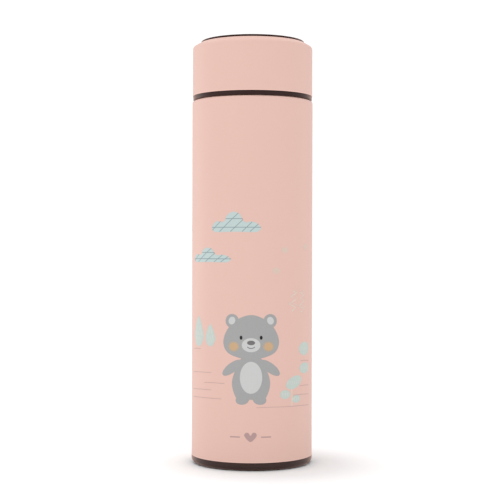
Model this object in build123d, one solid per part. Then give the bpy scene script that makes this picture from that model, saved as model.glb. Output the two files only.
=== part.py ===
import os

from build123d import *

os.makedirs("parts", exist_ok=True)

# A double-walled steel flask that stands on z = 0 with its axis on Z, closed by a screw lid that
# reads the drink's temperature. Sizes are in millimetres; r is a radius, t a wall, h a height.

# overall
body_r = 33.0            # painted shell, outside
base_h = 4.5             # base cup showing below the shell
shell_h = 193.2          # shell, from the base seam to the shoulder
lid_h = 32.6             # lid, from its band to the top of the bezel
lid_gap = 0.2            # open joint between shoulder and lid
lid_step = 0.2           # the lid is this much slimmer than the shell
edge_round = 0.3         # outer edges of mouldings
inner_round = 0.5        # inner corners of mouldings
rib_bite = 0.5           # ribs run this far into the wall they join

# double wall
shell_t = 0.5
liner_t = 0.4
vacuum_gap = 2.4         # between the two side walls
floor_gap = 4.0          # between the two floors
shoulder_round = 1.3
neck_bore_r = 23.2       # the mouth, inside
neck_h = 18.3            # shoulder to rim
neck_gap = 1.5           # vacuum in the neck
neck_root_round = 1.0
rim_round = 0.9
ledge_w = 2.2            # step inside the throat, carries the strainer
ledge_rise = 0.3         # ledge above the shoulder
ledge_round = 0.7
throat_h = 3.0           # straight throat below the ledge
cone_h = 8.5             # sloping shoulder of the liner
cone_round = 4.0
liner_floor_w = 7.7      # flat ring round the domed floor
liner_floor_round = 6.0
liner_seam_h = 7.0       # floor to the weld with the liner's wall
dome_run = 10.0
dome_rise = 3.0

# outer floor
plate_rise = 4.1         # plate above the shell's lower edge
flange_lift = 0.4        # flange stops short of the shell's edge
flange_round = 2.0
step_inset = 6.5         # step in the plate, in from the shell
step_run = 2.0
step_drop = 1.0
dimple_r = 7.0
dimple_run = 1.5
dimple_drop = 1.4
vent_r = 1.2             # hole through which the flask is evacuated
bead_r = 2.5
bead_drop = 1.1
getter_r = 4.0
getter_h = 2.5
getter_place_r = 15.0

# base cup and foot
foot_proud = 0.4         # foot ring stands below the cup
cup_floor_t = 1.6
cup_corner_round = 2.3
cup_spigot_t = 2.1
cup_spigot_h = 1.9       # above the seam
cup_rib_count = 12
cup_rib_t = 1.2
cup_hub_r = 9.0
cup_hub_t = 1.4
foot_inset = 5.0         # foot groove, in from the side
foot_w = 4.0
foot_depth = 0.8
foot_round = 0.4

# strainer
strainer_t = 0.4
strainer_clear = 0.6     # to the throat
strainer_h = 20.6        # flange to the cup's bottom
strainer_lip_w = 1.4
strainer_corner = 0.45
screen_t = 0.4
screen_hole_r = 0.9
screen_pitch = 3.3
slot_count = 20
slot_w = 1.5
slot_h = 11.0
ring_side_clear = 0.25
ring_t = 0.5
ring_round = 0.9

# lid mouldings
sleeve_t = 0.5
core_wall_t = 1.7
core_clear = 0.1
band_h = 2.5             # brown band under the steel sleeve
band_step = 0.2
band_round = 0.8
thread_gap = 1.0         # neck to skirt, taken up by the threads
skirt_t = 1.6
skirt_lift = 0.5         # skirt ends above the shoulder
rim_clear = 0.4
ceiling_t = 1.6
core_rib_count = 12
core_rib_t = 1.2
plug_clear = 0.8         # plug to the neck's bore
plug_wall_t = 1.6
plug_corner_round = 0.8  # inside the plug's floor
plug_lift = 5.0          # plug's underside above the ledge
seal_groove_d = 1.6
seal_groove_h = 4.0
seal_groove_z = 1.0      # groove above the plug's underside
lead_hole_r = 6.0

# lid seal
seal_slack = 0.12        # play between seal ring and groove
seal_web_t = 0.7
seal_neck_clear = 0.15
seal_lip_t = 0.9

# lid top
bevel_w = 4.0
bevel_drop = 2.3
bevel_round = 1.6
bezel_proud = 1.2        # bezel above the end of the bevel
bezel_gap = 0.5
bezel_w = 1.8
bezel_round = 0.5
bezel_foot_h = 1.0       # core wall stops this far below the bevel's corner
bezel_foot_inset = 0.6   # foot stays clear of the corner inside the sleeve
bezel_tongue_t = 1.4
bezel_tongue_h = 1.4
bezel_shelf_w = 1.5
bezel_shelf_t = 0.9
panel_t = 1.9
panel_inset = 0.3        # panel below the bezel's top
panel_clear = 0.1
gasket_t = 0.5
window_l = 26.0
window_w = 17.0
window_d = 0.5

# electronics
boss_r = 2.8
boss_h = 3.0
boss_count = 3
boss_inset = 0.5         # from the plug's mouth
board_t = 1.0
board_margin = 0.7       # board beyond the bosses
screw_r = 0.9
screw_head_r = 1.9
screw_head_h = 1.3
screw_l = 3.4
display_l = 24.0
display_w = 15.0
display_well_d = 1.0
display_wall_t = 1.5
chip_w = 7.0
chip_h = 1.2
spring_r = 2.6
spring_t = 0.5
spring_clear = 3.5       # display to spring
battery_r = 12.25
battery_h = 5.0
battery_cap_h = 0.5
battery_cap_inset = 0.8
battery_drop = 2.8       # battery below the board
clip_w = 8.0
clip_t = 0.3
clip_clear = 0.2
clip_round = 0.5
lead_r = 0.4
lead_pitch = 1.6
lead_bend_r = 2.0
lead_drop = 0.7          # leads pass under the clip
foam_clear = 0.2

# temperature probe
probe_t = 0.4
probe_r = 4.5
probe_l = 8.6            # nub below the plate
probe_plate_inset = 0.2
probe_tip_round = 1.5
probe_root_round = 0.6
thermistor_r = 1.3
thermistor_h = 4.4
thermistor_clear = 0.2   # above the nub's floor

# levels and radii worked out from the sizes above
shoulder_z = base_h + shell_h
rim_z = shoulder_z + neck_h
ledge_z = shoulder_z + ledge_rise
shell_in_r = body_r - shell_t
liner_r = shell_in_r - vacuum_gap - liner_t
neck_r = neck_bore_r + liner_t + neck_gap + shell_t
throat_r = neck_bore_r - ledge_w

plate_z = base_h + plate_rise
recess_z = plate_z - step_drop
dimple_z = recess_z - dimple_drop
liner_floor_z = plate_z + floor_gap + liner_t
liner_seam_z = liner_floor_z + liner_seam_h

lid_z = shoulder_z + lid_gap
top_z = lid_z + lid_h
lid_r = body_r - lid_step
core_r = lid_r - sleeve_t - core_clear
core_in_r = core_r - core_wall_t
sleeve_z = lid_z + band_h
bevel_end_z = top_z - bezel_proud
bevel_z = bevel_end_z - bevel_drop
core_top_z = bevel_z - bezel_foot_h
skirt_r = neck_r + thread_gap
skirt_z = shoulder_z + lid_gap + skirt_lift
ceiling_z = rim_z + rim_clear
ceiling_top_z = ceiling_z + ceiling_t
plug_z = ledge_z + plug_lift
plug_r = neck_bore_r - plug_clear
groove_r = plug_r - seal_groove_d
groove_z = plug_z + seal_groove_z
plug_in_r = groove_r - plug_wall_t
plug_floor_z = plug_z + plug_wall_t

bezel_r = lid_r - bevel_w - bezel_gap
bezel_in_r = bezel_r - bezel_w
panel_top_z = top_z - panel_inset
panel_z = panel_top_z - panel_t
shelf_z = panel_z - gasket_t

boss_place_r = plug_in_r + boss_r + boss_inset
board_z = ceiling_top_z + boss_h
board_top_z = board_z + board_t
board_r = boss_place_r + boss_r + board_margin
battery_top_z = board_z - battery_drop
battery_z = battery_top_z - battery_h
lead_z = battery_z - clip_t - lead_drop
lead_x = (battery_r + plug_in_r) / 2
probe_tip_z = plug_z - probe_t - probe_l


on_floor = (Align.CENTER, Align.CENTER, Align.MIN)


# Ways of making. An outline is a list of (u, v) or (u, v, corner radius) points.

def flat(outline, plane=Plane.XZ):
    points = [(u, v) for u, v, *_ in outline]
    radii = [corner[2] if len(corner) > 2 else 0 for corner in outline]
    return plane * make_face(FilletPolyline(*points, radius=radii, close=True))


def turned(outline):
    return revolve(flat(outline), axis=Axis.Z)


def sheet(path, t):
    # closes an open path into a sheet: its second face lies t to the left of the path
    spots = [complex(u, v) for u, v, *_ in path]
    headings = [(b - a) / abs(b - a) for a, b in zip(spots, spots[1:])]
    incoming = [headings[0]] + headings
    outgoing = headings + [headings[-1]]
    second_face = []
    for corner, spot, before, after in zip(path, spots, incoming, outgoing):
        turn = before.conjugate() * after
        moved = spot + t * 1j * (before + after) / (1 + turn.real)
        radius = corner[2] if len(corner) > 2 else 0
        if radius:
            radius = radius - t if turn.imag > 0 else radius + t
        second_face.append((moved.real, moved.imag, radius))
    return path + second_face[::-1]


def pressed(path, t):
    return turned(sheet(path, t))


def ring(inner_r, outer_r, low_z, high_z):
    return turned([(inner_r, low_z), (outer_r, low_z), (outer_r, high_z), (inner_r, high_z)])


def disc(radius, low_z, high_z, x=0, y=0):
    return Pos(x, y, low_z) * Cylinder(radius, high_z - low_z, align=on_floor)


def block(length, width, low_z, high_z, x=0, y=0):
    return Pos(x, y, low_z) * Box(length, width, high_z - low_z, align=on_floor)


def fins(inner_r, outer_r, thickness, low_z, high_z, count):
    # upright radial walls, each a box from inner_r to outer_r
    length = outer_r - inner_r
    places = PolarLocations((inner_r + outer_r) / 2, count)
    return [place * block(length, thickness, low_z, high_z) for place in places]


# flask

def outer_shell():
    return pressed([
        (body_r, base_h),
        (body_r, shoulder_z, shoulder_round),
        (neck_r, shoulder_z, neck_root_round),
        (neck_r, rim_z - liner_t),
    ], shell_t)


def liner():
    throat_z = ledge_z - throat_h
    return pressed([
        (liner_r, liner_seam_z),
        (liner_r, throat_z - cone_h, cone_round),
        (throat_r, throat_z, cone_round / 2),
        (throat_r, ledge_z, ledge_round),
        (neck_bore_r, ledge_z, ledge_round),
        (neck_bore_r, rim_z, rim_round),
        (neck_r, rim_z),
    ], -liner_t)


def liner_bottom():
    ring_r = liner_r - liner_floor_w
    return pressed([
        (0, liner_floor_z + dome_rise),
        (ring_r - dome_run, liner_floor_z + dome_rise, dome_run),
        (ring_r, liner_floor_z, dome_run),
        (liner_r, liner_floor_z, liner_floor_round),
        (liner_r, liner_seam_z),
    ], -liner_t)


def outer_bottom():
    step_r = shell_in_r - step_inset
    return pressed([
        (shell_in_r, base_h + flange_lift),
        (shell_in_r, plate_z, flange_round),
        (step_r, plate_z, step_drop),
        (step_r - step_run, recess_z, step_drop),
        (dimple_r, recess_z, dimple_drop / 2),
        (dimple_r - dimple_run, dimple_z, dimple_drop / 2),
        (vent_r, dimple_z),
    ], shell_t)


def seal_bead():
    under_z = dimple_z - shell_t
    return turned([
        (0, dimple_z),
        (vent_r, dimple_z),
        (vent_r, under_z),
        (bead_r, under_z),
        (bead_r, under_z - bead_drop, bead_drop * 0.8),
        (0, under_z - bead_drop),
    ])


def getter():
    return disc(getter_r, recess_z, recess_z + getter_h, x=getter_place_r)


def base_cup():
    spigot_r = shell_in_r - shell_t - core_clear
    spigot_in_r = spigot_r - cup_spigot_t
    floor_z = foot_proud + cup_floor_t
    groove_out_r = body_r - foot_inset
    groove_in_r = groove_out_r - foot_w
    rib_top_z = recess_z - shell_t - core_clear
    cup = turned([
        (0, foot_proud),
        (groove_in_r, foot_proud),
        (groove_in_r, foot_proud + foot_depth),
        (groove_out_r, foot_proud + foot_depth),
        (groove_out_r, foot_proud),
        (body_r, foot_proud, cup_corner_round),
        (body_r, base_h),
        (spigot_r, base_h),
        (spigot_r, base_h + cup_spigot_h, edge_round),
        (spigot_in_r, base_h + cup_spigot_h),
        (spigot_in_r, floor_z, inner_round),
        (0, floor_z),
    ])
    cup += ring(cup_hub_r - cup_hub_t, cup_hub_r, floor_z, rib_top_z)
    rib_in_r = cup_hub_r - rib_bite
    rib_out_r = spigot_in_r + rib_bite
    return cup + fins(rib_in_r, rib_out_r, cup_rib_t, floor_z, rib_top_z, cup_rib_count)


def foot_ring():
    outer_r = body_r - foot_inset - core_clear
    inner_r = body_r - foot_inset - foot_w + core_clear
    return turned([
        (inner_r, 0, foot_round),
        (outer_r, 0, foot_round),
        (outer_r, foot_proud + foot_depth),
        (inner_r, foot_proud + foot_depth),
    ])


# strainer

strainer_in_r = throat_r - strainer_clear - strainer_t
strainer_flange_z = ledge_z + core_clear + ring_t + strainer_t
strainer_floor_z = strainer_flange_z - strainer_h
strainer_flange_r = neck_bore_r - ring_side_clear - ring_t


def strainer_cup():
    cup = pressed([
        (strainer_in_r - strainer_lip_w, strainer_floor_z),
        (strainer_in_r, strainer_floor_z, strainer_corner),
        (strainer_in_r, strainer_flange_z, strainer_corner),
        (strainer_flange_r, strainer_flange_z),
    ], -strainer_t)
    slot = SlotOverall(slot_h, slot_w)
    slot_z = (strainer_floor_z + strainer_flange_z) / 2
    cutter = Plane.YZ * Rot(0, 0, 90) * slot
    places = PolarLocations(strainer_in_r - strainer_t, slot_count)
    cuts = [Pos(0, 0, slot_z) * place * extrude(cutter, 3 * strainer_t) for place in places]
    return cup - cuts


def strainer_screen():
    radius = strainer_in_r - core_clear - strainer_corner
    drilled_r = strainer_in_r - strainer_lip_w - screen_hole_r
    sheet_metal = disc(radius, strainer_floor_z, strainer_floor_z + screen_t)
    rows = int(drilled_r / screen_pitch) * 2 + 3
    grid = HexLocations(screen_pitch / 2, rows, rows, major_radius=False)
    drills = [
        place * disc(screen_hole_r, strainer_floor_z, strainer_floor_z + screen_t)
        for place in grid
        if place.position.length < drilled_r
    ]
    return sheet_metal - drills


def strainer_ring():
    outer_r = neck_bore_r - ring_side_clear
    inner_r = throat_r + ring_t
    low_z = ledge_z + core_clear
    flange_low_z = strainer_flange_z - strainer_t
    return turned([
        (inner_r, low_z),
        (outer_r, low_z, ring_round),
        (outer_r, strainer_flange_z + ring_t, ring_t),
        (inner_r, strainer_flange_z + ring_t),
        (inner_r, strainer_flange_z),
        (strainer_flange_r, strainer_flange_z),
        (strainer_flange_r, flange_low_z),
        (inner_r, flange_low_z),
    ])


# lid

def lid_seal():
    # a web in the groove and two lips that wipe the neck's bore
    web_r = groove_r + seal_slack
    web_out_r = web_r + seal_web_t
    lip_r = neck_bore_r - seal_neck_clear
    low_z = groove_z + seal_slack
    high_z = groove_z + seal_groove_h - seal_slack
    return turned([
        (web_r, low_z),
        (lip_r, low_z, seal_lip_t / 2),
        (lip_r, low_z + seal_lip_t, seal_lip_t / 2),
        (web_out_r, low_z + seal_lip_t),
        (web_out_r, high_z - seal_lip_t),
        (lip_r, high_z - seal_lip_t, seal_lip_t / 2),
        (lip_r, high_z, seal_lip_t / 2),
        (web_r, high_z),
    ])


def lid_core():
    band_r = lid_r - band_step
    groove_top_z = groove_z + seal_groove_h
    core = turned([
        (core_in_r, lid_z),
        (band_r, lid_z, band_round),
        (band_r, sleeve_z),
        (core_r, sleeve_z),
        (core_r, core_top_z),
        (core_in_r, core_top_z),
        (core_in_r, ceiling_top_z, inner_round),
        (plug_in_r, ceiling_top_z, inner_round),
        (plug_in_r, plug_floor_z, plug_corner_round),
        (lead_hole_r, plug_floor_z),
        (lead_hole_r, plug_z),
        (plug_r, plug_z, edge_round),
        (plug_r, groove_z),
        (groove_r, groove_z),
        (groove_r, groove_top_z),
        (plug_r, groove_top_z),
        (plug_r, ceiling_z),
        (skirt_r, ceiling_z),
        (skirt_r, skirt_z, edge_round),
        (skirt_r + skirt_t, skirt_z, edge_round),
        (skirt_r + skirt_t, ceiling_z),
        (core_in_r, ceiling_z),
    ])
    rib_in_r = skirt_r + skirt_t - rib_bite
    rib_out_r = core_in_r + rib_bite
    core += fins(rib_in_r, rib_out_r, core_rib_t, sleeve_z, ceiling_z, core_rib_count)
    for place in PolarLocations(boss_place_r, boss_count):
        core += place * disc(boss_r, ceiling_top_z, board_z)
        core -= place * disc(screw_r, ceiling_top_z, board_z)
    return core


def lid_sleeve():
    return pressed([
        (lid_r, sleeve_z),
        (lid_r, bevel_z, bevel_round),
        (lid_r - bevel_w, bevel_end_z),
    ], sleeve_t)


def top_bezel():
    slope = bevel_drop / bevel_w
    sheet_drop = (sleeve_t + core_clear) * (1 + slope ** 2) ** 0.5

    def under_bevel(radius):
        return bevel_end_z - (radius - lid_r + bevel_w) * slope - sheet_drop

    foot_r = core_r - bezel_foot_inset
    tongue_r = core_in_r - core_clear
    tongue_in_r = tongue_r - bezel_tongue_t
    tongue_z = core_top_z - bezel_tongue_h
    shelf_r = bezel_in_r - bezel_shelf_w
    shelf_low_z = shelf_z - bezel_shelf_t
    return turned([
        (bezel_in_r, top_z, edge_round),
        (bezel_r, top_z, bezel_round),
        (bezel_r, under_bevel(bezel_r), edge_round),
        (foot_r, under_bevel(foot_r)),
        (foot_r, core_top_z),
        (tongue_r, core_top_z),
        (tongue_r, tongue_z),
        (tongue_in_r, tongue_z),
        (tongue_in_r, shelf_low_z, inner_round),
        (shelf_r, shelf_low_z),
        (shelf_r, shelf_z),
        (bezel_in_r, shelf_z),
    ])


def panel_gasket():
    return ring(bezel_in_r - bezel_shelf_w, bezel_in_r - panel_clear, shelf_z, panel_z)


def touch_panel():
    panel_r = bezel_in_r - panel_clear
    panel = turned([
        (0, panel_z),
        (panel_r, panel_z),
        (panel_r, panel_top_z, edge_round),
        (0, panel_top_z),
    ])
    return panel - block(window_l, window_w, panel_z, panel_z + window_d)


# electronics in the lid

spring_y = -(display_w / 2 + spring_r + spring_clear)
chip_x = spring_r + chip_w


def circuit_board():
    board = disc(board_r, board_z, board_top_z)
    for place in PolarLocations(boss_place_r, boss_count):
        board -= place * disc(screw_r, board_z, board_top_z)
    return board


def board_screws():
    screw = disc(screw_r, board_top_z - screw_l, board_top_z)
    screw += disc(screw_head_r, board_top_z, board_top_z + screw_head_h)
    return Compound(children=[place * screw for place in PolarLocations(boss_place_r, boss_count)])


def display_module():
    high_z = panel_z - foam_clear
    well_l = display_l - 2 * display_wall_t
    well_w = display_w - 2 * display_wall_t
    module = block(display_l, display_w, board_top_z, high_z)
    return module - block(well_l, well_w, high_z - display_well_d, high_z)


def controller_chip():
    return block(chip_w, chip_w, board_top_z, board_top_z + chip_h, x=chip_x, y=spring_y)


def touch_spring():
    tube = disc(spring_r, board_top_z, panel_z, y=spring_y)
    return tube - disc(spring_r - spring_t, board_top_z, panel_z, y=spring_y)


def battery():
    cap_r = battery_r - battery_cap_inset
    can_z = battery_z + battery_cap_h
    return turned([
        (0, battery_z),
        (cap_r, battery_z, edge_round),
        (cap_r, can_z),
        (battery_r, can_z, edge_round),
        (battery_r, battery_top_z, edge_round),
        (0, battery_top_z),
    ])


def battery_clip():
    half_l = battery_r + clip_clear
    path = [
        (-half_l, board_z),
        (-half_l, battery_z, clip_round),
        (half_l, battery_z, clip_round),
        (half_l, board_z),
    ]
    return extrude(flat(sheet(path, -clip_t), Plane.YZ), clip_w / 2, both=True)


def plug_foam():
    inner_r = lead_pitch / 2 + 2 * lead_r
    outer_r = plug_in_r - foam_clear
    low_z = plug_floor_z + core_clear
    high_z = lead_z - lead_r - foam_clear
    return turned([
        (inner_r, low_z),
        (outer_r, low_z, plug_corner_round),
        (outer_r, high_z),
        (inner_r, high_z),
    ])


def probe_plate():
    inner_r = probe_r - probe_t
    return pressed([
        (plug_r - probe_plate_inset, plug_z),
        (inner_r, plug_z, probe_root_round),
        (inner_r, probe_tip_z + probe_t, probe_tip_round),
        (0, probe_tip_z + probe_t),
    ], probe_t)


thermistor_z = probe_tip_z + probe_t + thermistor_clear
thermistor_top_z = thermistor_z + thermistor_h


def probe_seal():
    return ring(lead_pitch / 2 + lead_r + core_clear, lead_hole_r, plug_z, plug_floor_z)


def thermistor():
    return turned([
        (0, thermistor_z),
        (thermistor_r, thermistor_z, thermistor_r * 0.8),
        (thermistor_r, thermistor_top_z),
        (0, thermistor_top_z),
    ])


def sensor_leads():
    leads = []
    for y in (-lead_pitch / 2, lead_pitch / 2):
        path = FilletPolyline(
            (0, y, thermistor_top_z),
            (0, y, lead_z),
            (lead_x, y, lead_z),
            (lead_x, y, board_z),
            radius=[lead_bend_r, lead_bend_r],
        )
        section = Pos(0, y, thermistor_top_z) * Circle(lead_r)
        leads.append(sweep(section, path=path))
    return Compound(children=leads)


pieces = [
    outer_shell, liner, liner_bottom, outer_bottom, seal_bead, getter, base_cup, foot_ring,
    strainer_cup, strainer_screen, strainer_ring,
    lid_seal, lid_core, lid_sleeve, top_bezel, touch_panel, panel_gasket,
    display_module, circuit_board, board_screws, controller_chip, touch_spring,
    battery, battery_clip, plug_foam, probe_plate, probe_seal, thermistor, sensor_leads,
]

for piece in pieces:
    export_step(piece(), f"parts/{piece.__name__}.step")
    print("made", piece.__name__)
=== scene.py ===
import math

import bmesh
import bpy
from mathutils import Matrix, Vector


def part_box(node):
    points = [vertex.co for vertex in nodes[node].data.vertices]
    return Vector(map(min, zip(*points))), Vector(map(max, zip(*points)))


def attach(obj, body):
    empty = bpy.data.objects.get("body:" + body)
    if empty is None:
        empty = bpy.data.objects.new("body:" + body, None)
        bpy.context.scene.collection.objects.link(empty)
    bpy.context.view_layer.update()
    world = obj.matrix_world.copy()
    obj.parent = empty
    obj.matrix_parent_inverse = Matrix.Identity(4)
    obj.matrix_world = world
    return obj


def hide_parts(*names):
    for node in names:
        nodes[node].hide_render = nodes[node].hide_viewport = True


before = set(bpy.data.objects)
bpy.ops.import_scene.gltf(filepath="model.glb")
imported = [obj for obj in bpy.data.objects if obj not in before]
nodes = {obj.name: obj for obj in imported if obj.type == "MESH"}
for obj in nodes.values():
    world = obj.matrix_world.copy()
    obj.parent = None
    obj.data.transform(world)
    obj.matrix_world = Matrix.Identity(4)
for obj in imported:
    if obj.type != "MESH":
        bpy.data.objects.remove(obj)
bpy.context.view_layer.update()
mm = 0.001
print("frame loaded:", len(nodes), "nodes")


# places read from the frame

def low(node):
    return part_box(node)[0]


def high(node):
    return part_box(node)[1]


def radii(node, fromZ, toZ):
    # smallest and largest distance from the axis of a node's corners between two heights
    found = [math.hypot(v.co.x, v.co.y) for v in nodes[node].data.vertices if fromZ <= v.co.z <= toZ]
    return min(found), max(found)


seamZ = low("outer_shell").z
bodyR = high("outer_shell").x
lidZ = low("lid_core").z
rimZ = high("liner").z
neckR = radii("outer_shell", rimZ - 3 * mm, rimZ)[1]
skirtR = radii("lid_core", lidZ, lidZ + 0.7 * mm)[0]
panelZ = high("touch_panel").z
panelR = high("touch_panel").x
boardZ = high("circuit_board").z


# camera and light

cameraSpot = {
    "distance": 0.705, "height": 0.1174, "side": -0.0012,
    "lens": 92.26, "sensor": 36,
    "dip": 0.09, "roll": -0.144,  # degrees
}


def makeCamera():
    data = bpy.data.cameras.new("studioCamera")
    data.lens = cameraSpot["lens"]
    data.sensor_width = cameraSpot["sensor"]
    camera = bpy.data.objects.new("studioCamera", data)
    camera.location = (cameraSpot["side"], -cameraSpot["distance"], cameraSpot["height"])
    camera.rotation_euler = (math.radians(90 - cameraSpot["dip"]), math.radians(cameraSpot["roll"]), 0)
    bpy.context.scene.collection.objects.link(camera)
    bpy.context.scene.camera = camera


lightSet = {
    "world": 1.06,
    "gain": 0.82,  # colours below are written as they look under this light
    "aim": (0, 0, 0.11),
    "key": {"at": (-0.75, -0.85, 0.18), "size": 0.9, "power": 1.1},
    "fill": {"at": (0.9, -0.7, 0.12), "size": 0.9, "power": 0.35},
    "top": {"at": (-0.1, -0.1, 1.1), "size": 1.0, "power": 1.9},
    "rim": {"at": (-0.85, 0.5, 0.12), "size": 0.5, "power": 0.8},
}


def areaLight(name, at, size, power):
    data = bpy.data.lights.new(name, "AREA")
    data.shape = "DISK"
    data.size = size
    data.energy = power
    lamp = bpy.data.objects.new(name, data)
    lamp.location = at
    lamp.rotation_euler = (Vector(lightSet["aim"]) - Vector(at)).to_track_quat("-Z", "Y").to_euler()
    bpy.context.scene.collection.objects.link(lamp)


def makeStudio():
    world = bpy.data.worlds.new("studio")
    world.use_nodes = True
    background = world.node_tree.nodes["Background"]
    background.inputs["Color"].default_value = (1, 1, 1, 1)
    background.inputs["Strength"].default_value = lightSet["world"]
    bpy.context.scene.world = world
    bpy.context.scene.view_settings.view_transform = "Standard"
    for name in ("key", "fill", "top", "rim"):
        areaLight(name + "Light", **lightSet[name])


# shader building

class Value:
    # one socket; arithmetic on it adds the Math nodes
    def __init__(self, socket):
        self.socket = socket

    def maths(self, operation, first, second):
        tree = self.socket.id_data
        return addNode(tree, "ShaderNodeMath", {"operation": operation}, {0: first, 1: second})

    def __add__(self, other):
        return self.maths("ADD", self, other)

    def __sub__(self, other):
        return self.maths("SUBTRACT", self, other)

    def __rsub__(self, other):
        return self.maths("SUBTRACT", other, self)

    def __mul__(self, other):
        return self.maths("MULTIPLY", self, other)

    def __gt__(self, other):
        return self.maths("GREATER_THAN", self, other)

    def __lt__(self, other):
        return self.maths("LESS_THAN", self, other)

    __radd__ = __add__
    __rmul__ = __mul__


def addNode(tree, kind, settings, inputs, output=0):
    # settings first, then a value or a link for each named or numbered socket
    node = tree.nodes.new(kind)
    for key, setting in settings.items():
        setattr(node, key, setting)
    for key, given in inputs.items():
        if isinstance(given, Value):
            tree.links.new(given.socket, node.inputs[key])
        else:
            node.inputs[key].default_value = given
    return Value(node.outputs[output])


def srgb(red, green, blue):
    def linear(level):
        part = level / 255
        return part / 12.92 if part <= 0.04045 else ((part + 0.055) / 1.055) ** 2.4
    return linear(red), linear(green), linear(blue)


def shaded(colour, factor):
    return tuple(min(1, part * factor) for part in colour)


class Finish:
    # one procedural material: constants go straight on the shader's sockets
    def __init__(self, name, colour, **constants):
        self.material = bpy.data.materials.new(name)
        self.material.use_nodes = True
        self.tree = self.material.node_tree
        self.shader = self.tree.nodes["Principled BSDF"]
        self.colour = shaded(srgb(*colour), lightSet["gain"])
        self.shader.inputs["Base Color"].default_value = (*self.colour, 1)
        for socketName, value in constants.items():
            self.shader.inputs[socketName.replace("_", " ")].default_value = value
        self.place = self.add("ShaderNodeTexCoord", {}, {}, output="Object")

    def add(self, kind, settings, inputs, output=0):
        return addNode(self.tree, kind, settings, inputs, output)

    def feed(self, **links):
        for socketName, value in links.items():
            self.tree.links.new(value.socket, self.shader.inputs[socketName.replace("_", " ")])

    def noise(self, scale, detail=2.0, roughness=0.5, stretch=(1, 1, 1)):
        vector = self.place
        if stretch != (1, 1, 1):
            vector = self.add("ShaderNodeMapping", {"vector_type": "POINT"},
                              {"Vector": vector, "Scale": stretch})
        return self.add("ShaderNodeTexNoise", {},
                        {"Vector": vector, "Scale": scale, "Detail": detail, "Roughness": roughness})

    def blend(self, factor, first, second):
        first, second = (colour if isinstance(colour, Value) else (*colour, 1)
                         for colour in (first, second))
        return self.add("ShaderNodeMix", {"data_type": "RGBA"},
                        {"Factor": factor, 6: first, 7: second}, output=2)

    def spread(self, factor, darkest, lightest):
        # the finish's own colour, drifting between two shares of it
        return self.blend(factor, shaded(self.colour, darkest), shaded(self.colour, lightest))

    def around(self, middle, swing, factor):
        # a number that drifts by the swing around its middle
        return factor * swing + (middle - swing / 2)

    def bump(self, height, strength, distance):
        return self.add("ShaderNodeBump", {},
                        {"Height": height, "Strength": strength, "Distance": distance})

    def axisDistance(self):
        flat = self.add("ShaderNodeVectorMath", {"operation": "MULTIPLY"}, {0: self.place, 1: (1, 1, 0)})
        return self.add("ShaderNodeVectorMath", {"operation": "LENGTH"}, {0: flat}, output="Value")

    def heightAbove(self):
        return self.add("ShaderNodeSeparateXYZ", {}, {"Vector": self.place}, output="Z")


# finishes

coat = {
    "colour": (234, 194, 182), "roughness": 0.5, "roughDrift": 0.08, "shine": 0.25,
    "drift": (0.985, 1.015), "driftScale": 18,
    "grain": 2600, "ripple": 500, "grainDepth": 0.012 * mm, "grainStrength": 0.25,
    # painted highlight: how high the paler line along the coat's lower edge reaches, and how much paler it
    # is
    "paintedHighlightBand": 0.4 * mm, "paintedHighlightTone": 1.12,
    "paintStop": 0.6 * mm,  # from the neck's side out to where the paint starts
}


def coatLayers(finish, lowEdgeZ):
    # satin powder coat: slow drift in tone, a painted highlight as a paler line along its lower edge, fine
    # orange peel
    paintedHighlight = finish.heightAbove() < lowEdgeZ + coat["paintedHighlightBand"]
    drift = finish.spread(finish.noise(coat["driftScale"], detail=3), *coat["drift"])
    tone = finish.blend(paintedHighlight, drift, shaded(finish.colour, coat["paintedHighlightTone"]))
    rough = finish.around(coat["roughness"], coat["roughDrift"], finish.noise(600))
    peel = finish.noise(coat["grain"], detail=3) + finish.noise(coat["ripple"], detail=1) * 0.6
    return tone, rough, peel


def coatFinish(name, lowEdgeZ):
    finish = Finish(name, coat["colour"], Specular_IOR_Level=coat["shine"])
    tone, rough, peel = coatLayers(finish, lowEdgeZ)
    finish.feed(Base_Color=tone, Roughness=rough)
    finish.feed(Normal=finish.bump(peel, coat["grainStrength"], coat["grainDepth"]))
    return finish


steel = {"colour": (196, 193, 190), "tones": (0.9, 1.06), "roughness": 0.26, "roughDrift": 0.16,
         "lines": 5200, "acrossLines": 40, "lineDepth": 0.006 * mm}


def turnedLines(finish):
    # fine tool lines that run round the axis
    stretch = (steel["acrossLines"], steel["acrossLines"], steel["lines"])
    return finish.noise(1, detail=4, roughness=0.65, stretch=stretch)


def brushedFinish(name, roughness=steel["roughness"]):
    finish = Finish(name, steel["colour"], Metallic=1.0)
    lines = turnedLines(finish)
    finish.feed(Base_Color=finish.spread(lines, *steel["tones"]))
    finish.feed(Roughness=finish.around(roughness, steel["roughDrift"], lines))
    finish.feed(Normal=finish.bump(lines, 0.3, steel["lineDepth"]))
    return finish


def shellFinish():
    # powder coat that stops at the foot of the neck, where the bare turned steel starts
    finish = Finish("shellCoatAndNeck", coat["colour"], Specular_IOR_Level=coat["shine"])
    tone, rough, peel = coatLayers(finish, seamZ)
    painted = finish.axisDistance() > neckR + coat["paintStop"]
    lines = turnedLines(finish)
    bare = shaded(srgb(*steel["colour"]), lightSet["gain"])
    darkest, lightest = steel["tones"]
    metal = finish.blend(lines, shaded(bare, darkest), shaded(bare, lightest))
    metalRough = finish.around(steel["roughness"], steel["roughDrift"], lines)
    finish.feed(Base_Color=finish.blend(painted, metal, tone), Metallic=1 - painted)
    finish.feed(Roughness=painted * rough + (1 - painted) * metalRough)
    height = painted * peel + (1 - painted) * lines * 0.5
    finish.feed(Normal=finish.bump(height, coat["grainStrength"], coat["grainDepth"]))
    return finish


polished = {"colour": (228, 226, 222), "tones": (0.93, 1.03), "roughness": 0.24,
            "mottle": 900.0, "mottleDepth": 0.005 * mm, "cloud": 60}


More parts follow.
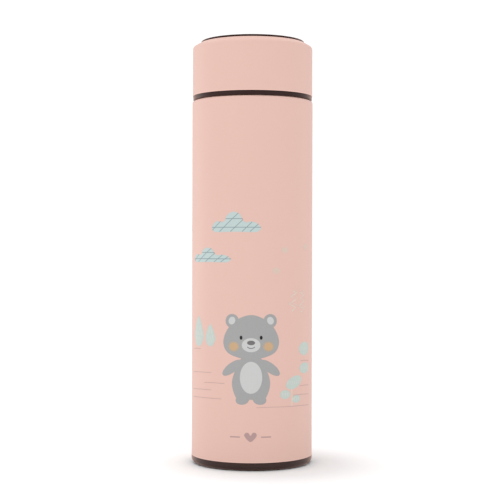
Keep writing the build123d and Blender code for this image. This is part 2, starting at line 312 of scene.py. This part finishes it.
def polishedFinish():
    # electropolished inside of the flask: bright, with a faint crystalline mottle
    finish = Finish("electropolishedSteel", polished["colour"], Metallic=1.0)
    mottle = finish.add("ShaderNodeTexVoronoi", {"feature": "F1"},
                        {"Vector": finish.place, "Scale": polished["mottle"]})
    cloudiness = finish.noise(polished["cloud"], detail=3)
    finish.feed(Roughness=cloudiness * 0.12 + mottle * 0.06 + polished["roughness"])
    finish.feed(Base_Color=finish.spread(cloudiness, *polished["tones"]))
    finish.feed(Normal=finish.bump(mottle, 0.15, polished["mottleDepth"]))
    return finish


brown = {"colour": (50, 30, 27), "bezelColour": (50, 22, 17), "grain": 3200, "grainDepth": 0.01 * mm,
         "shine": 0.14, "bezelShine": 0.07, "sheen": 0.9, "sheenSpread": 0.32,
         "sheenTint": (0.78, 0.44, 0.34, 1)}


def brownFinish(name, roughness=0.36, colour=brown["colour"], shine=brown["shine"]):
    # moulded polypropylene: fine spark-eroded grain, uneven gloss, warm where the light grazes it
    finish = Finish(name, colour, Specular_IOR_Level=shine, Sheen_Weight=brown["sheen"],
                    Sheen_Roughness=brown["sheenSpread"], Sheen_Tint=brown["sheenTint"])
    grain = finish.noise(brown["grain"])
    glossDrift = finish.noise(45)
    finish.feed(Base_Color=finish.spread(glossDrift, 0.92, 1.1))
    finish.feed(Roughness=glossDrift * 0.08 + grain * 0.06 + (roughness - 0.07))
    finish.feed(Normal=finish.bump(grain, 0.2, brown["grainDepth"]))
    return finish


base = {"colour": (56, 37, 33), "shine": 0.24, "rings": 160.0, "ringDepth": 0.02 * mm, "below": 0.45 * mm}


def baseFinish():
    # the base cup: the same moulding with turned rings on its underside
    finish = brownFinish("baseCupBrown", colour=base["colour"], shine=base["shine"])
    rings = finish.add("ShaderNodeTexWave", {"wave_type": "RINGS", "rings_direction": "Z"},
                       {"Vector": finish.place, "Scale": base["rings"]})
    under = finish.heightAbove() < base["below"]
    height = rings * under + finish.noise(brown["grain"]) * 0.3
    finish.feed(Normal=finish.bump(height, 0.25, base["ringDepth"]))
    return finish


def siliconeFinish(name, colour, roughness=0.55):
    # matt silicone with a soft dusty tone
    finish = Finish(name, colour)
    dust = finish.noise(320, detail=4, roughness=0.7)
    finish.feed(Base_Color=finish.spread(dust, 0.9, 1.06))
    finish.feed(Roughness=dust * 0.12 + (roughness - 0.06))
    finish.feed(Normal=finish.bump(dust, 0.15, 0.01 * mm))
    return finish


panel = {"colour": (16, 15, 17), "tones": (0.8, 1.3), "gloss": 0.03, "roughness": 0.06,
         "wipes": (900, 60, 60), "wipeRough": 0.05}


def panelFinish():
    # smoked touch panel: high gloss with the faintest wiping marks
    finish = Finish("smokedPanel", panel["colour"], Coat_Weight=1.0, Coat_Roughness=panel["gloss"])
    wipes = finish.noise(1, detail=3, stretch=panel["wipes"])
    finish.feed(Roughness=wipes * panel["wipeRough"] + panel["roughness"])
    finish.feed(Base_Color=finish.spread(wipes, *panel["tones"]))
    return finish


board = {"colour": (24, 92, 52), "traceTone": 1.8, "traceScale": 420.0, "traceWidth": 0.03,
         "traceDepth": 0.02 * mm, "roughness": 0.25}


def boardFinish():
    # solder mask over a faint grid of traces
    finish = Finish("solderMask", board["colour"])
    grid = {"Vector": finish.place, "Scale": board["traceScale"], "Mortar Size": board["traceWidth"]}
    traces = finish.add("ShaderNodeTexBrick", {"offset": 0.5}, grid, output="Fac")
    finish.feed(Base_Color=finish.spread(traces, 1, board["traceTone"]))
    finish.feed(Roughness=traces * 0.15 + board["roughness"])
    finish.feed(Normal=finish.bump(traces, 0.3, board["traceDepth"]))
    return finish


def grainyFinish(name, colour, roughness, metallic=0.0, scale=1500, contrast=0.1, depth=0.01 * mm):
    # one tone broken up by a grain of the given size
    finish = Finish(name, colour, Metallic=metallic)
    grain = finish.noise(scale, detail=3)
    finish.feed(Base_Color=finish.spread(grain, 1 - contrast, 1 + contrast))
    finish.feed(Roughness=grain * 0.12 + (roughness - 0.06))
    finish.feed(Normal=finish.bump(grain, 0.3, depth))
    return finish


def inkFinish(name, colour, drift=0.04):
    # printed ink: a flat tone with a dry, slightly uneven lay
    finish = Finish(name, colour, Specular_IOR_Level=coat["shine"])
    lay = finish.noise(1400, detail=3)
    finish.feed(Base_Color=finish.spread(lay, 1 - drift, 1 + drift))
    finish.feed(Roughness=lay * 0.1 + 0.5)
    finish.feed(Normal=finish.bump(lay, 0.15, 0.008 * mm))
    return finish


def glowFinish(name, colour, strength):
    # lit display segments, a little uneven
    finish = Finish(name, colour, Emission_Strength=strength)
    haze = finish.noise(2200, detail=1)
    lit = finish.spread(haze, 0.85, 1)
    finish.feed(Emission_Color=lit, Base_Color=lit, Roughness=haze * 0.1 + 0.2)
    return finish


def paintNodes():
    brushed = brushedFinish("brushedSteel")
    electropolished = polishedFinish()
    seal = siliconeFinish("milkySilicone", (214, 212, 206))
    plated = grainyFinish("platedSteel", (190, 188, 182), 0.3, metallic=1.0, scale=2500)
    epoxy = grainyFinish("epoxy", (28, 28, 30), 0.5, scale=4000)
    finishes = {
        "outer_shell": shellFinish(),
        "lid_sleeve": coatFinish("sleeveCoat", low("lid_sleeve").z),
        "liner": electropolished,
        "liner_bottom": electropolished,
        "outer_bottom": brushed,
        "seal_bead": grainyFinish("solderGlass", (70, 78, 70), 0.2, scale=900),
        "getter": grainyFinish("sinteredPowder", (92, 92, 92), 0.85, metallic=0.4, scale=3500,
                               depth=0.05 * mm),
        "base_cup": baseFinish(),
        "foot_ring": siliconeFinish("footSilicone", (38, 30, 28), 0.62),
        "strainer_cup": electropolished,
        "strainer_screen": brushed,
        "strainer_ring": seal,
        "lid_seal": seal,
        "lid_core": brownFinish("coreBrown"),
        "top_bezel": brownFinish("bezelBrown", 0.32, brown["bezelColour"], brown["bezelShine"]),
        "touch_panel": panelFinish(),
        "panel_gasket": siliconeFinish("foamTape", (26, 26, 26), 0.8),
        "display_module": grainyFinish("reflectorWhite", (224, 224, 218), 0.45, scale=1800, contrast=0.03),
        "circuit_board": boardFinish(),
        "board_screws": plated,
        "controller_chip": epoxy,
        "battery": plated,
        "battery_clip": plated,
        "plug_foam": grainyFinish("closedCellFoam", (236, 235, 228), 0.9, scale=1300, depth=0.15 * mm),
        "probe_plate": brushedFinish("probeSteel", 0.2),
        "probe_seal": seal,
        "thermistor": epoxy,
        "sensor_leads": siliconeFinish("leadSleeve", (150, 44, 36), 0.5),
        "touch_spring": plated,
    }
    for node, finish in finishes.items():
        slots = nodes[node].data.materials
        slots.clear()
        slots.append(finish.material)
    return finishes


# meshes

def makeObject(name, bm, finish, body, smooth=True):
    bmesh.ops.recalc_face_normals(bm, faces=bm.faces)
    mesh = bpy.data.meshes.new(name)
    bm.to_mesh(mesh)
    bm.free()
    mesh.polygons.foreach_set("use_smooth", [smooth] * len(mesh.polygons))
    mesh.materials.append(finish.material)
    piece = bpy.data.objects.new(name, mesh)
    bpy.context.scene.collection.objects.link(piece)
    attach(piece, body)
    return piece


def sweptTube(bm, rings):
    # joins closed rings of corners into a tube with capped ends
    loops = [[bm.verts.new(spot) for spot in ring] for ring in rings]
    count = len(loops[0])
    for before, after in zip(loops, loops[1:]):
        for i in range(count):
            j = (i + 1) % count
            bm.faces.new((before[i], before[j], after[j], after[i]))
    bm.faces.new(loops[0][::-1])
    bm.faces.new(loops[-1])


# threads

thread = {
    "pitch": 4.2 * mm, "width": 2.0 * mm, "crest": 0.9 * mm, "depth": 0.8 * mm, "root": 0.15 * mm,
    "flank": (0.8, 1.15), "crown": 0.7,  # where the flank bends over, and the crown's share of the crest
    "runOut": 0.16, "endDepth": 0.02, "endWidth": 0.55, "endCrest": 0.4,  # turns, then shares left at an end
    "neckStart": 4.4 * mm, "neckTurns": 1.6, "lidTurns": 1.3, "steps": 90,
}


def threadRidge(name, wallR, outward, startZ, turns, finish, body):
    # a rounded ridge that winds up a wall and fades out at both ends; outward is 1 or -1
    bm = bmesh.new()
    rings = []
    total = int(thread["steps"] * turns)
    bendOut, bendWidth = thread["flank"]
    for step in range(total + 1):
        turn = turns * step / total
        fade = math.sin(min(1, min(turn, turns - turn) / thread["runOut"]) * math.pi / 2)
        depth = thread["depth"] * max(fade, thread["endDepth"])
        halfWidth = thread["width"] / 2 * (thread["endWidth"] + (1 - thread["endWidth"]) * fade)
        halfCrest = thread["crest"] / 2 * (thread["endCrest"] + (1 - thread["endCrest"]) * fade)
        angle = 2 * math.pi * turn
        z = startZ + thread["pitch"] * turn
        lower = [(-thread["root"], -halfWidth), (0, -halfWidth),
                 (depth * bendOut, -halfCrest * bendWidth), (depth, -halfCrest * thread["crown"])]
        section = lower + [(out, -up) for out, up in reversed(lower)]
        rings.append([
            ((wallR + outward * out) * math.cos(angle), (wallR + outward * out) * math.sin(angle), z + up)
            for out, up in section
        ])
    sweptTube(bm, rings)
    makeObject(name, bm, finish, body)


def makeThreads(finishes):
    neckStartZ = lidZ + thread["neckStart"]
    lidStartZ = neckStartZ - thread["pitch"] / 2
    threadRidge("neckThread", neckR, 1, neckStartZ, thread["neckTurns"],
                brushedFinish("threadSteel"), "flask")
    threadRidge("lidThread", skirtR, -1, lidStartZ, thread["lidTurns"],
                finishes["lid_core"], "lid")


# contact spring

spring = {"turns": 6.5, "wire": 0.28 * mm, "steps": 28, "sides": 8}


def makeSpring(finishes):
    lowCorner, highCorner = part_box("touch_spring")
    centre = (lowCorner + highCorner) / 2
    coilR = (highCorner.x - lowCorner.x) / 2 - spring["wire"]
    fromZ = lowCorner.z + spring["wire"]
    rise = highCorner.z - lowCorner.z - 2 * spring["wire"]
    total = int(spring["turns"] * spring["steps"])
    rings = []
    for step in range(total + 1):
        share = step / total
        angle = 2 * math.pi * spring["turns"] * share
        outward = Vector((math.cos(angle), math.sin(angle), 0))
        hub = Vector((centre.x, centre.y, fromZ + rise * share)) + outward * coilR
        rings.append([
            hub + spring["wire"] * (outward * math.cos(turn) + Vector((0, 0, math.sin(turn))))
            for turn in (2 * math.pi * side / spring["sides"] for side in range(spring["sides"]))
        ])
    bm = bmesh.new()
    sweptTube(bm, rings)
    piece = makeObject("contactSpring", bm, finishes["touch_spring"], "lid")
    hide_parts("touch_spring")


# small parts on the circuit board

boardBits = {
    "ceramic": (2.0, 1.25, 0.9),  # length, width and height in millimetres
    "resistor": (1.6, 0.8, 0.5),
    "cap": 0.35,  # metal end, along the part
    "ceramics": [(-8, -12.5, 90), (-10.5, -12.5, 90), (-13, -11.5, 90), (16.5, -5, 0), (16.5, 5.5, 0)],
    "resistors": [(14.5, -9.2, 90), (-8, -16, 0), (-11, -15.6, 0), (-15.6, 4, 90), (-15.6, 0, 90),
                  (-15.6, -4, 90), (-5, 11, 0), (0, 11, 0), (5, 11, 0), (9, 12.5, 0)],
}


def bevelledBlock(bm, centre, size, turned):
    made = bmesh.ops.create_cube(bm, size=1)["verts"]
    sizes = (size[1], size[0], size[2]) if turned else size
    bmesh.ops.scale(bm, vec=[part * mm for part in sizes], verts=made)
    bmesh.ops.translate(bm, vec=centre, verts=made)
    edges = list({edge for vert in made for edge in vert.link_edges})
    bmesh.ops.bevel(bm, geom=edges, offset=0.08 * mm, segments=2, profile=0.5, affect="EDGES")


def makeBoardBits():
    bodies, ends = bmesh.new(), bmesh.new()
    for kind in ("ceramic", "resistor"):
        length, width, height = boardBits[kind]
        cap = boardBits["cap"]
        for x, y, turn in boardBits[kind + "s"]:
            along = Vector((0, 1, 0)) if turn else Vector((1, 0, 0))
            centre = Vector((x * mm, y * mm, boardZ + height / 2 * mm))
            bevelledBlock(bodies, centre, (length - 2 * cap, width * 0.94, height * 0.94), turn)
            for side in (-1, 1):
                spot = centre + along * side * (length - cap) / 2 * mm
                bevelledBlock(ends, spot, (cap, width, height), turn)
    ceramicTan = grainyFinish("ceramicTan", (150, 122, 92), 0.4, scale=3000)
    makeObject("boardPartBodies", bodies, ceramicTan, "lid", smooth=False)
    tinned = grainyFinish("tinnedEnds", (205, 205, 202), 0.25, metallic=1.0, scale=3000)
    makeObject("boardPartEnds", ends, tinned, "lid", smooth=False)


# outlines for the print, in millimetres on the unrolled shell: s to the right, z up

def ellipse(s, z, halfWidth, halfHeight, tilt=0, count=40):
    lean = math.radians(tilt)
    spots = []
    for i in range(count):
        angle = 2 * math.pi * i / count
        u, v = halfWidth * math.cos(angle), halfHeight * math.sin(angle)
        across = u * math.cos(lean) - v * math.sin(lean)
        up = u * math.sin(lean) + v * math.cos(lean)
        spots.append((s + across, z + up))
    return spots


def smoothLoop(corners, perSpan=8):
    # closed smooth curve through a few corners
    spots = []
    count = len(corners)
    for i in range(count):
        a, b, c, d = (corners[(i + k - 1) % count] for k in range(4))
        for step in range(perSpan):
            t = step / perSpan
            spots.append(tuple(
                0.5 * (2 * b[k] + (c[k] - a[k]) * t + (2 * a[k] - 5 * b[k] + 4 * c[k] - d[k]) * t * t
                       + (3 * b[k] - a[k] - 3 * c[k] + d[k]) * t ** 3)
                for k in (0, 1)))
    return spots


def stroke(path, width):
    # a pen line of even width
    left, right = [], []
    for i, (s, z) in enumerate(path):
        s0, z0 = path[max(i - 1, 0)]
        s1, z1 = path[min(i + 1, len(path) - 1)]
        reach = width / 2 / math.hypot(s1 - s0, z1 - z0)
        left.append((s - (z1 - z0) * reach, z + (s1 - s0) * reach))
        right.append((s + (z1 - z0) * reach, z - (s1 - s0) * reach))
    return left + right[::-1]


def arcPath(s, z, radius, fromAngle, toAngle, squash, count=12):
    angles = [math.radians(fromAngle + (toAngle - fromAngle) * i / count) for i in range(count + 1)]
    return [(s + radius * math.cos(a), z + radius * squash * math.sin(a)) for a in angles]


# laying the print on the shell

layer = {"lift": 0.01, "thickness": 0.014, "step": 0.003, "root": 0.02, "slice": 1.6}


def wrapped(s, z, lift):
    radius = bodyR + lift * mm
    angle = s * mm / bodyR
    return radius * math.sin(angle), -radius * math.cos(angle), z * mm


def printShapes(name, outlines, finish, level):
    # each outline becomes a thin closed patch that follows the shell
    # neighbours differ a little in height, so that overlapping ones don't share a face
    bm = bmesh.new()
    for index, outline in enumerate(outlines):
        patch = bmesh.new()
        face = patch.faces.new([patch.verts.new((s, z, 0)) for s, z in outline])
        bmesh.ops.triangulate(patch, faces=[face])
        first = min(s for s, z in outline)
        last = max(s for s, z in outline)
        for cut in range(math.ceil(first / layer["slice"]), math.ceil(last / layer["slice"])):
            geometry = patch.verts[:] + patch.edges[:] + patch.faces[:]
            place = (cut * layer["slice"], 0, 0)
            bmesh.ops.bisect_plane(patch, geom=geometry, plane_co=place, plane_no=(1, 0, 0))
        top = layer["lift"] + layer["thickness"] * level + layer["step"] * (index % 4)
        corner = {}
        for vert in patch.verts:
            s, z = vert.co.x, vert.co.y
            corner[vert] = bm.verts.new(wrapped(s, z, top)), bm.verts.new(wrapped(s, z, -layer["root"]))
        for face in patch.faces:
            bm.faces.new([corner[v][0] for v in face.verts])
            bm.faces.new([corner[v][1] for v in reversed(face.verts)])
        for edge in patch.edges:
            if len(edge.link_faces) == 1:
                a, b = edge.verts
                bm.faces.new((corner[a][0], corner[b][0], corner[b][1], corner[a][1]))
        patch.free()
    makeObject(name, bm, finish, "flask", smooth=False)


clouds = {
    "ink": (195, 212, 210), "hatchInk": (145, 160, 165), "line": 0.36,
    "spots": [(-9.3, 131.1, 27.8, 10.8), (-25.8, 113.7, 28.6, 7.9),  # middle s and z, width, height
              (84, 128, 26, 10.5), (104, 108, 22, 8.5), (70, 143, 20, 8), (-78, 136, 25, 10),
              (-62, 118, 20, 7.5)],
    "outline": [(0.0, 0.2), (0.04, 0.42), (0.13, 0.54), (0.22, 0.5), (0.29, 0.56), (0.34, 0.82),
                (0.47, 1.0), (0.6, 0.86), (0.65, 0.6), (0.72, 0.48), (0.82, 0.52), (0.93, 0.42),
                (1.0, 0.2), (0.95, 0.04), (0.86, 0.0), (0.5, 0.02), (0.14, 0.0), (0.05, 0.04)],
    "hatch": [((0.0, 0.24), (1.0, 0.24)), ((0.31, 0.66), (0.65, 0.66)), ((0.01, 0.1), (0.2, 0.53)),
              ((0.18, 0.03), (0.57, 0.94)), ((0.41, 0.03), (0.66, 0.62)), ((0.64, 0.03), (0.83, 0.5)),
              ((0.79, 0.03), (0.95, 0.4))],
}


def printClouds():
    outlines, hatching = [], []
    for s, z, width, height in clouds["spots"]:
        def at(share, rise):
            return s + (share - 0.5) * width, z + (rise - 0.5) * height
        outlines.append(smoothLoop([at(*corner) for corner in clouds["outline"]], perSpan=5))
        hatching += [stroke([at(*start), at(*end)], clouds["line"]) for start, end in clouds["hatch"]]
    printShapes("printClouds", outlines, inkFinish("mintInk", clouds["ink"]), 1)
    printShapes("printCloudHatch", hatching, inkFinish("hatchInk", clouds["hatchInk"]), 2)


dots = {"ink": (224, 201, 187), "squash": 0.72,
        "spots": [(18.2, 116.3, 2.2), (34.4, 118.2, 2.0), (13.0, 105.5, 2.2), (58, 112, 1.8),
                  (70, 102, 1.6), (92, 140, 1.8), (-52, 128, 2.0), (-88, 118, 2.0), (-70, 104, 1.8)]}


def printDots():
    outlines = [ellipse(s, z, size, size * dots["squash"]) for s, z, size in dots["spots"]]
    printShapes("printDots", outlines, inkFinish("sandInk", dots["ink"]), 1)


bear = {
    "s": -0.5, "fur": (168, 168, 168), "pale": (206, 207, 206), "nose": (117, 114, 115),
    "cheek": (207, 172, 134), "blush": (188, 170, 150), "eye": (30, 28, 28),
    # right halves, from the top down
    "head": [(8.4, 79.2), (13.4, 73.6), (15.2, 67.6), (13.0, 62.6), (6.8, 59.8)],
    "torso": [(5.6, 59.0), (8.6, 52.6), (10.2, 46.6), (8.9, 40.6), (5.6, 36.3)],
    "headEnds": (82.2, 59.0), "torsoEnds": (61.0, 37.8),
    # distance out from s, z, half width, half height and tilt; those off the middle come in pairs
    "belly": (0, 49.3, 5.9, 8.4, 0), "muzzle": (0, 66.4, 4.9, 3.7, 0), "noseTip": (0, 67.6, 2.1, 1.2, 0),
    "ear": (10.2, 79.0, 3.7, 3.7, 0), "arm": (10.2, 54.4, 6.6, 2.5, -36), "foot": (4.6, 37.6, 3.6, 2.5, -8),
    "innerEar": (10.3, 79.2, 1.8, 2.1, 30), "blushSpot": (9.3, 65.6, 2.9, 2.7, 0),
    "cheekSpot": (9.3, 65.6, 2.2, 2.0, 0), "eyeSpot": (5.3, 70.3, 0.75, 1.05, 0),
    "smile": (66.6, 2.4, 215, 325, 0.8, 0.42),  # z, radius, from and to in degrees, squash, pen width
}


def bearLoop(key):
    # closed curve through the right half's corners and their mirror
    s = bear["s"]
    topZ, bottomZ = bear[key + "Ends"]
    right = [(s + out, z) for out, z in bear[key]]
    left = [(s - out, z) for out, z in reversed(bear[key])]
    return smoothLoop([(s, topZ)] + right + [(s, bottomZ)] + left)


def bearSpot(key, side=1):
    out, z, halfWidth, halfHeight, tilt = bear[key]
    return ellipse(bear["s"] + side * out, z, halfWidth, halfHeight, tilt=side * tilt)


def printBear():
    # a plain teddy with round head and ears, arms out to the sides
    fur = [bearLoop("head"), bearLoop("torso")]
    pale = [bearSpot("belly"), bearSpot("muzzle")]
    for side in (-1, 1):
        fur += [bearSpot(key, side) for key in ("ear", "arm", "foot")]
        pale.append(bearSpot("innerEar", side))
    blush, cheeks, eyes = ([bearSpot(key, side) for side in (-1, 1)]
                           for key in ("blushSpot", "cheekSpot", "eyeSpot"))
    z, radius, fromAngle, toAngle, squash, width = bear["smile"]
    smile = stroke(arcPath(bear["s"], z, radius, fromAngle, toAngle, squash), width)
    nose = [bearSpot("noseTip"), smile]
    printShapes("printBear", fur, inkFinish("furInk", bear["fur"]), 1)
    printShapes("printBearPale", pale, inkFinish("paleInk", bear["pale"]), 2)
    printShapes("printBearBlush", blush, inkFinish("blushInk", bear["blush"]), 2)
    printShapes("printBearCheeks", cheeks, inkFinish("cheekInk", bear["cheek"]), 3)
    printShapes("printBearNose", nose, inkFinish("noseInk", bear["nose"]), 3)
    printShapes("printBearEyes", eyes, inkFinish("eyeInk", bear["eye"]), 3)


trees = {
    "ink": (199, 212, 205), "fleckInk": (226, 216, 212),
    "fleck": (1.9, 0.3), "gap": (1.54, 2.7),  # length and width of a mark, then the gaps across and up
    "fleckRows": 4, "fleckReach": 0.62,
    "tall": [(-34.6, 65.2, 4.9, 15.6), (-24.4, 65.6, 3.6, 11.3), (60, 50, 4.4, 16), (69, 50, 3.4, 12),
             (80, 52, 3.8, 13), (-56, 66, 4.2, 14), (-66, 65, 3.4, 10.5), (-84, 60, 4.4, 15)],
    "round": [(33.6, 63.6, 5.2, 3.6, 0), (33.9, 53.2, 5.0, 2.9, 0), (24.8, 46.1, 6.0, 3.2, 18),
              (18.6, 40.0, 3.2, 2.4, 0), (26.4, 37.2, 3.2, 2.1, 0)],
}


def leafOutline(s, z, halfWidth, height):
    # a pointed leaf that stands on z
    half = [(0.72, 0.64), (1.0, 0.3), (0.45, 0.0)]
    right = [(s + out * halfWidth, z + up * height) for out, up in half]
    left = [(s - out * halfWidth, z + up * height) for out, up in reversed(half)]
    return smoothLoop([(s, z + height)] + right + left)


def flecksIn(s, z, halfWidth, halfHeight):
    # short upright pen marks in staggered rows
    acrossGap, upGap = trees["gap"]
    length, width = trees["fleck"]
    most = trees["fleckRows"]
    marks = []
    for row in range(-most, most + 1):
        for column in range(-most, most + 1):
            ds, dz = (column + row % 2 / 2) * acrossGap, row * upGap
            if (ds / halfWidth) ** 2 + (dz / halfHeight) ** 2 < trees["fleckReach"]:
                marks.append(stroke([(s + ds, z + dz - length / 2), (s + ds, z + dz + length / 2)], width))
    return marks


def printTrees():
    outlines = [leafOutline(*spot) for spot in trees["tall"]]
    flecks = []
    for s, z, halfWidth, height in trees["tall"]:
        flecks += flecksIn(s, z + height * 0.4, halfWidth, height * 0.42)
    for s, z, halfWidth, halfHeight, tilt in trees["round"]:
        outlines.append(ellipse(s, z, halfWidth, halfHeight, tilt))
        flecks += flecksIn(s, z, halfWidth, halfHeight)
    printShapes("printTrees", outlines, inkFinish("leafInk", trees["ink"]), 1)
    printShapes("printTreeFlecks", flecks, inkFinish("fleckInk", trees["fleckInk"]), 2)


twigs = {
    "ink": (228, 214, 202),
    "stem": [([(22.9, 42.6), (23.1, 38.0), (23.0, 33.6)], 0.7), ([(23.1, 36.6), (25.6, 38.4)], 0.5)],
    "zigzags": [[(24.0, 94.6), (25.8, 93.3), (22.2, 91.6), (25.6, 90.0), (20.9, 87.8), (25.6, 85.9),
                 (22.8, 83.8)],
                [(29.6, 93.8), (32.8, 92.3), (29.2, 90.5), (33.0, 89.1), (28.4, 86.6), (33.2, 84.9),
                 (29.8, 83.0)]],
    "width": 0.75,
    "second": (1.5, 0.9, 0.4),  # a finer line beside the first: its offset in s and z, and its width
}


def printTwigs():
    outlines = [stroke(path, width) for path, width in twigs["stem"]]
    ds, dz, fine = twigs["second"]
    for path in twigs["zigzags"]:
        outlines.append(stroke(path, twigs["width"]))
        outlines.append(stroke([(s + ds, z + dz) for s, z in path[:-1]], fine))
    printShapes("printTwigs", outlines, inkFinish("twigInk", twigs["ink"]), 2)


ground = {
    "ink": (205, 172, 166), "width": 0.34, "rise": 0.2,
    "lines": [(-42.0, 50.3, -23.5, 51.2), (-28.9, 45.6, -15.0, 45.9), (-41.9, 41.1, -23.4, 42.0),
              (-41.8, 36.9, -16.8, 37.7), (-40.7, 62.9, -32.3, 63.4), (29.9, 57.2, 38.8, 56.7),
              (29.4, 43.8, 38.9, 43.6), (24.1, 39.3, 38.9, 38.7), (2.3, 33.6, 20.0, 33.5),
              (20.0, 33.5, 39.0, 32.8), (52, 49.4, 88, 49.8), (60, 44.5, 80, 44.8),
              (-92, 60, -74, 60.4), (-72, 64.6, -50, 65.2),
              (-66, 46, -48, 46.4), (-84, 40, -58, 40.6)],
}


def printGround():
    outlines = []
    for s0, z0, s1, z1 in ground["lines"]:
        middle = (s0 + s1) / 2, (z0 + z1) / 2 + ground["rise"]
        outlines.append(stroke([(s0, z0), middle, (s1, z1)], ground["width"]))
    printShapes("printGround", outlines, inkFinish("lineInk", ground["ink"]), 1)


heart = {"ink": (186, 156, 154), "s": -0.7, "halfWidth": 3.2, "tipZ": 15.6, "height": 5.0,
         "half": [(0.4, 0.96), (0.9, 0.9), (0.97, 0.56)], "dip": (0, 0.66),
         "rule": (5.6, 5.4, 0.6)}  # start, length and width


def printHeart():
    # a plain heart between two short rules
    s, tip = heart["s"], heart["tipZ"]

    def at(out, up):
        return s + out * heart["halfWidth"], tip + up * heart["height"]

    right = [at(out, up) for out, up in heart["half"]]
    left = [at(-out, up) for out, up in reversed(heart["half"])]
    outlines = [smoothLoop([at(*heart["dip"])] + right + [(s, tip)] + left, perSpan=6)]
    start, length, width = heart["rule"]
    z = tip + heart["height"] / 2
    for side in (-1, 1):
        outlines.append(stroke([(s + side * start, z), (s + side * (start + length), z)], width))
    printShapes("printHeart", outlines, inkFinish("plumInk", heart["ink"]), 1)


# display on the lid's panel

digits = {"height": 8.4, "width": 4.6, "bar": 0.95, "gap": 2.4, "lift": 0.02 * mm,
          "tip": 0.7, "flat": 1.2, "split": 0.25,  # insets at the bars' ends, in bars
          "shown": ("bcfg", "abcdefg"), "degree": (0.9, 0.5), "degreeShift": (0.6, -0.6),
          "colour": (235, 244, 255), "glow": 1.6}


def segmentOutlines(lit, s, z):
    width, height, bar = digits["width"], digits["height"], digits["bar"]
    half = bar / 2

    def across(level):
        y = z + level * height / 2
        tip, flat = width / 2 - bar * digits["tip"], width / 2 - bar * digits["flat"]
        return [(s - tip, y), (s - flat, y + half), (s + flat, y + half),
                (s + tip, y), (s + flat, y - half), (s - flat, y - half)]

    def upright(side, level):
        x = s + side * width / 2
        y = z + level * height / 4
        reach = height / 4 - bar * digits["split"]
        return [(x, y + reach), (x + half, y + reach - half), (x + half, y - reach + half),
                (x, y - reach), (x - half, y - reach + half), (x - half, y + reach - half)]

    shapes = {"a": across(1), "g": across(0), "d": across(-1), "f": upright(-1, 1), "b": upright(1, 1),
              "e": upright(-1, -1), "c": upright(1, -1)}
    return [shapes[key] for key in lit]


def flatShapes(name, outlines, finish):
    # outlines in millimetres, raised by the digits' lift from the panel
    bm = bmesh.new()
    for outline in outlines:
        lower, upper = ([bm.verts.new((x * mm, y * mm, level)) for x, y in outline]
                        for level in (panelZ, panelZ + digits["lift"]))
        bm.faces.new(lower[::-1])
        bm.faces.new(upper)
        for i in range(len(lower)):
            j = (i + 1) % len(lower)
            bm.faces.new((lower[i], lower[j], upper[j], upper[i]))
    makeObject(name, bm, finish, "lid", smooth=False)


def ringOutline(s, z, radius, width, count=48):
    return stroke(arcPath(s, z, radius, 0, 360, 1, count), width)


panelMark = {"inset": 2.2, "width": 0.35, "ink": (150, 146, 144)}


def makeDisplay():
    step = (digits["width"] + digits["gap"]) / 2
    lit = segmentOutlines(digits["shown"][0], -step, 0) + segmentOutlines(digits["shown"][1], step, 0)
    shiftX, shiftY = digits["degreeShift"]
    lit.append(ringOutline(2 * step + shiftX, digits["height"] / 2 + shiftY, *digits["degree"]))
    flatShapes("displayDigits", lit, glowFinish("segmentGlow", digits["colour"], digits["glow"]))
    edge = ringOutline(0, 0, panelR / mm - panelMark["inset"], panelMark["width"], count=120)
    flatShapes("panelRing", [edge], inkFinish("panelMark", panelMark["ink"]))


# floor

# the grey close to the flask is a painted shadow, centred a little to the front and right of it
floorSet = {"size": 60.0, "roughness": 0.9, "shine": 0.2, "paintedShadowTone": 0.8, "far": 0.99, "reach": 0.04,
            "paintedShadowCentre": (0.014, -0.012, 0)}


def makeFloor():
    # plain paper with a painted shadow: greyer close round the flask and on the side away from the key light
    finish = Finish("paleFloor", (250, 250, 250), Roughness=floorSet["roughness"],
                    Specular_IOR_Level=floorSet["shine"])
    fromPaintedShadowCentre = finish.add("ShaderNodeVectorMath", {"operation": "DISTANCE"},
                            {0: finish.place, 1: floorSet["paintedShadowCentre"]}, output="Value")
    outsidePaintedShadow = finish.add("ShaderNodeMapRange", {}, {"Value": fromPaintedShadowCentre, "From Min": bodyR,
                                                 "From Max": bodyR + floorSet["reach"]})
    # painted shadow: the paper's colour is grey close round that centre and fades to its own pale tone
    # further out
    finish.feed(Base_Color=finish.blend(outsidePaintedShadow, [floorSet["paintedShadowTone"]] * 3, [floorSet["far"]] * 3))
    bm = bmesh.new()
    bmesh.ops.create_grid(bm, x_segments=8, y_segments=8, size=floorSet["size"])
    mesh = bpy.data.meshes.new("floor")
    bm.to_mesh(mesh)
    bm.free()
    mesh.materials.append(finish.material)
    floor = bpy.data.objects.new("floor", mesh)
    bpy.context.scene.collection.objects.link(floor)


makeCamera()
makeStudio()
makeFloor()
print("studio made")
finishes = paintNodes()
print("finishes assigned:", len(finishes))
makeThreads(finishes)
makeSpring(finishes)
makeBoardBits()
print("threads, spring and board parts made")
for printPart in (printClouds, printDots, printBear, printTrees, printTwigs, printGround, printHeart):
    printPart()
print("print made")
makeDisplay()
print("display made")
